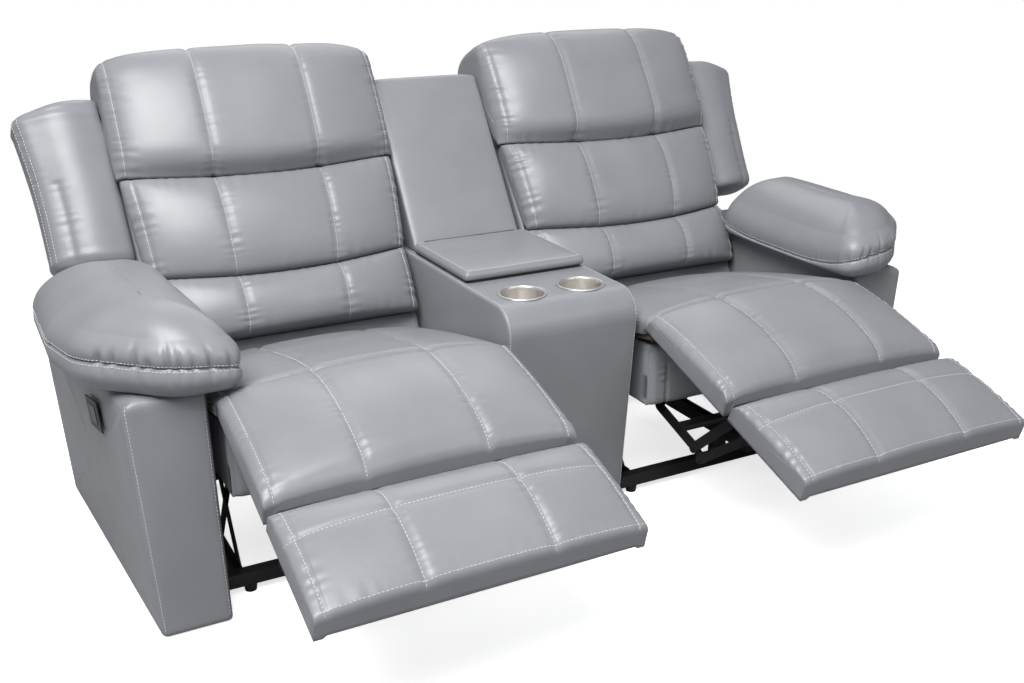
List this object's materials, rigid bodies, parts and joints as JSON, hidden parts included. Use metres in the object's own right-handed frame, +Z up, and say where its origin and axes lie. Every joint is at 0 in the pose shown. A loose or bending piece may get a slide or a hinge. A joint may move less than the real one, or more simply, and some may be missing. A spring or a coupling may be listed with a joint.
{
  "type": "two_seat_power_reclining_loveseat",
  "caption": "Reclining loveseat with padded back tiers, pillow arms, a lidded centre console with cup holders, and powered leg rests on folding steel linkages",
  "frame": {"origin": "On the floor under the console, on the plane of symmetry, below the seats' back pins less 150 mm", "axes": "X along the sofa to the right seen from the front, -Y to the front, +Z up"},
  "size_m": [2.028, 1.4353, 1.0207],
  "materials": {
    "leather": "soft grey bonded leather with fine grain and tonal stitching",
    "frame_wood": "raw plywood and softwood, hidden by the upholstery",
    "black_steel": "semi gloss black paint on pressed steel",
    "bright_steel": "plain steel",
    "cup_steel": "spun stainless steel",
    "black_plastic": "moulded, fine matt",
    "button_plastic": "moulded, satin"
  },
  "bodies": {
    "base": {"console_body": "leather", "console_deck": "leather", "console_tub": "black_plastic", "console_back": "leather", "cup_holders": "cup_steel", "lid_hinge": "bright_steel", "glides": "black_plastic", "switch_plates": "black_plastic", "left_arm": "leather", "left_arm_pillow": "leather", "left_base_frame": "black_steel", "left_side_plates": "black_steel", "left_seat_frame": "frame_wood", "left_seat_cushion": "leather", "left_seat_bolster": "leather", "left_thigh_pad": "leather", "left_actuator": "black_plastic", "right_arm": "leather", "right_arm_pillow": "leather", "right_base_frame": "black_steel", "right_side_plates": "black_steel", "right_seat_frame": "frame_wood", "right_seat_cushion": "leather", "right_seat_bolster": "leather", "right_thigh_pad": "leather", "right_actuator": "black_plastic"},
    "lid": {"lid_board": "black_plastic", "lid_pad": "leather"},
    "left_back": {"left_back_frame": "frame_wood", "left_back_cover": "leather", "left_lumbar_pad": "leather", "left_middle_pad": "leather", "left_head_pad": "leather", "left_wing": "leather"},
    "left_calf": {"left_calf_pan": "black_steel", "left_calf_pad": "leather"},
    "left_foot": {"left_foot_pan": "black_steel", "left_foot_pad": "leather"},
    "left_cranks": {"left_long_links": "black_steel"},
    "left_couplers": {"left_coupler_links": "black_steel"},
    "left_ties": {"left_tie_links": "black_steel"},
    "left_slider": {"left_carriage": "black_plastic"},
    "left_button": {"left_switch_button": "button_plastic"},
    "right_back": {"right_back_frame": "frame_wood", "right_back_cover": "leather", "right_lumbar_pad": "leather", "right_middle_pad": "leather", "right_head_pad": "leather", "right_wing": "leather"},
    "right_calf": {"right_calf_pan": "black_steel", "right_calf_pad": "leather"},
    "right_foot": {"right_foot_pan": "black_steel", "right_foot_pad": "leather"},
    "right_cranks": {"right_long_links": "black_steel"},
    "right_couplers": {"right_coupler_links": "black_steel"},
    "right_ties": {"right_tie_links": "black_steel"},
    "right_slider": {"right_carriage": "black_plastic"},
    "right_button": {"right_switch_button": "button_plastic"}
  },
  "joints": [
    {"name": "left_back_recline", "type": "hinge", "parent": "base", "child": "left_back", "pos_m": [-0.471, 0.15, 0.33], "axis": [-1, 0, 0], "range_deg": [0, 26]},
    {"name": "left_leg_fold", "type": "hinge", "parent": "base", "child": "left_calf", "pos_m": [-0.471, -0.4648, 0.402], "axis": [1, 0, 0], "range_deg": [0, 108]},
    {"name": "left_foot_fold", "type": "hinge", "parent": "left_calf", "child": "left_foot", "pos_m": [-0.471, -0.60663, 0.35317], "axis": [1, 0, 0], "range_deg": [-37, 0]},
    {"name": "left_crank_swing", "type": "hinge", "parent": "base", "child": "left_cranks", "pos_m": [-0.471, -0.278, 0.236], "axis": [1, 0, 0], "range_deg": [0, 108]},
    {"name": "left_coupler_swing", "type": "hinge", "parent": "left_cranks", "child": "left_couplers", "pos_m": [-0.471, -0.41983, 0.18716], "axis": [1, 0, 0], "range_deg": [-108, 0]},
    {"name": "left_tie_swing", "type": "hinge", "parent": "left_cranks", "child": "left_ties", "pos_m": [-0.471, -0.45089, 0.17334], "axis": [1, 0, 0], "range_deg": [-111.3, 0]},
    {"name": "left_carriage_slide", "type": "slide", "parent": "base", "child": "left_slider", "axis": [0, 1, 0], "range_m": [0, 0.1239]},
    {"name": "left_button_press", "type": "slide", "parent": "base", "child": "left_button", "axis": [0.9957, 0.0746, 0.0549], "range_m": [0, 0.0012], "stiffness_N_per_m": 1200, "springref_m": -0.0012},
    {"name": "right_back_recline", "type": "hinge", "parent": "base", "child": "right_back", "pos_m": [0.471, 0.15, 0.33], "axis": [-1, 0, 0], "range_deg": [0, 26]},
    {"name": "right_leg_fold", "type": "hinge", "parent": "base", "child": "right_calf", "pos_m": [0.471, -0.4648, 0.402], "axis": [1, 0, 0], "range_deg": [0, 108]},
    {"name": "right_foot_fold", "type": "hinge", "parent": "right_calf", "child": "right_foot", "pos_m": [0.471, -0.60663, 0.35317], "axis": [1, 0, 0], "range_deg": [-37, 0]},
    {"name": "right_crank_swing", "type": "hinge", "parent": "base", "child": "right_cranks", "pos_m": [0.471, -0.278, 0.236], "axis": [1, 0, 0], "range_deg": [0, 108]},
    {"name": "right_coupler_swing", "type": "hinge", "parent": "right_cranks", "child": "right_couplers", "pos_m": [0.471, -0.41983, 0.18716], "axis": [1, 0, 0], "range_deg": [-108, 0]},
    {"name": "right_tie_swing", "type": "hinge", "parent": "right_cranks", "child": "right_ties", "pos_m": [0.471, -0.45089, 0.17334], "axis": [1, 0, 0], "range_deg": [-111.3, 0]},
    {"name": "right_carriage_slide", "type": "slide", "parent": "base", "child": "right_slider", "axis": [0, 1, 0], "range_m": [0, 0.1239]},
    {"name": "right_button_press", "type": "slide", "parent": "base", "child": "right_button", "axis": [-0.9957, 0.0746, 0.0549], "range_m": [0, 0.0012], "stiffness_N_per_m": 1200, "springref_m": -0.0012},
    {"name": "lid_swing", "type": "hinge", "parent": "base", "child": "lid", "pos_m": [0, 0.1954, 0.5583], "axis": [-1, 0, 0], "range_deg": [0, 95]}
  ],
  "couplings": [
    {"joint": "left_foot_fold", "follows": "left_leg_fold", "ratio": -0.34259},
    {"joint": "left_crank_swing", "follows": "left_leg_fold", "ratio": 1},
    {"joint": "left_coupler_swing", "follows": "left_leg_fold", "ratio": -1},
    {"joint": "left_tie_swing", "follows": "left_leg_fold", "ratio": -1.0296},
    {"joint": "left_carriage_slide", "follows": "left_leg_fold", "m_per_rad": 0.065671},
    {"joint": "right_foot_fold", "follows": "right_leg_fold", "ratio": -0.34259},
    {"joint": "right_crank_swing", "follows": "right_leg_fold", "ratio": 1},
    {"joint": "right_coupler_swing", "follows": "right_leg_fold", "ratio": -1},
    {"joint": "right_tie_swing", "follows": "right_leg_fold", "ratio": -1.0296},
    {"joint": "right_carriage_slide", "follows": "right_leg_fold", "m_per_rad": 0.065671}
  ]
}
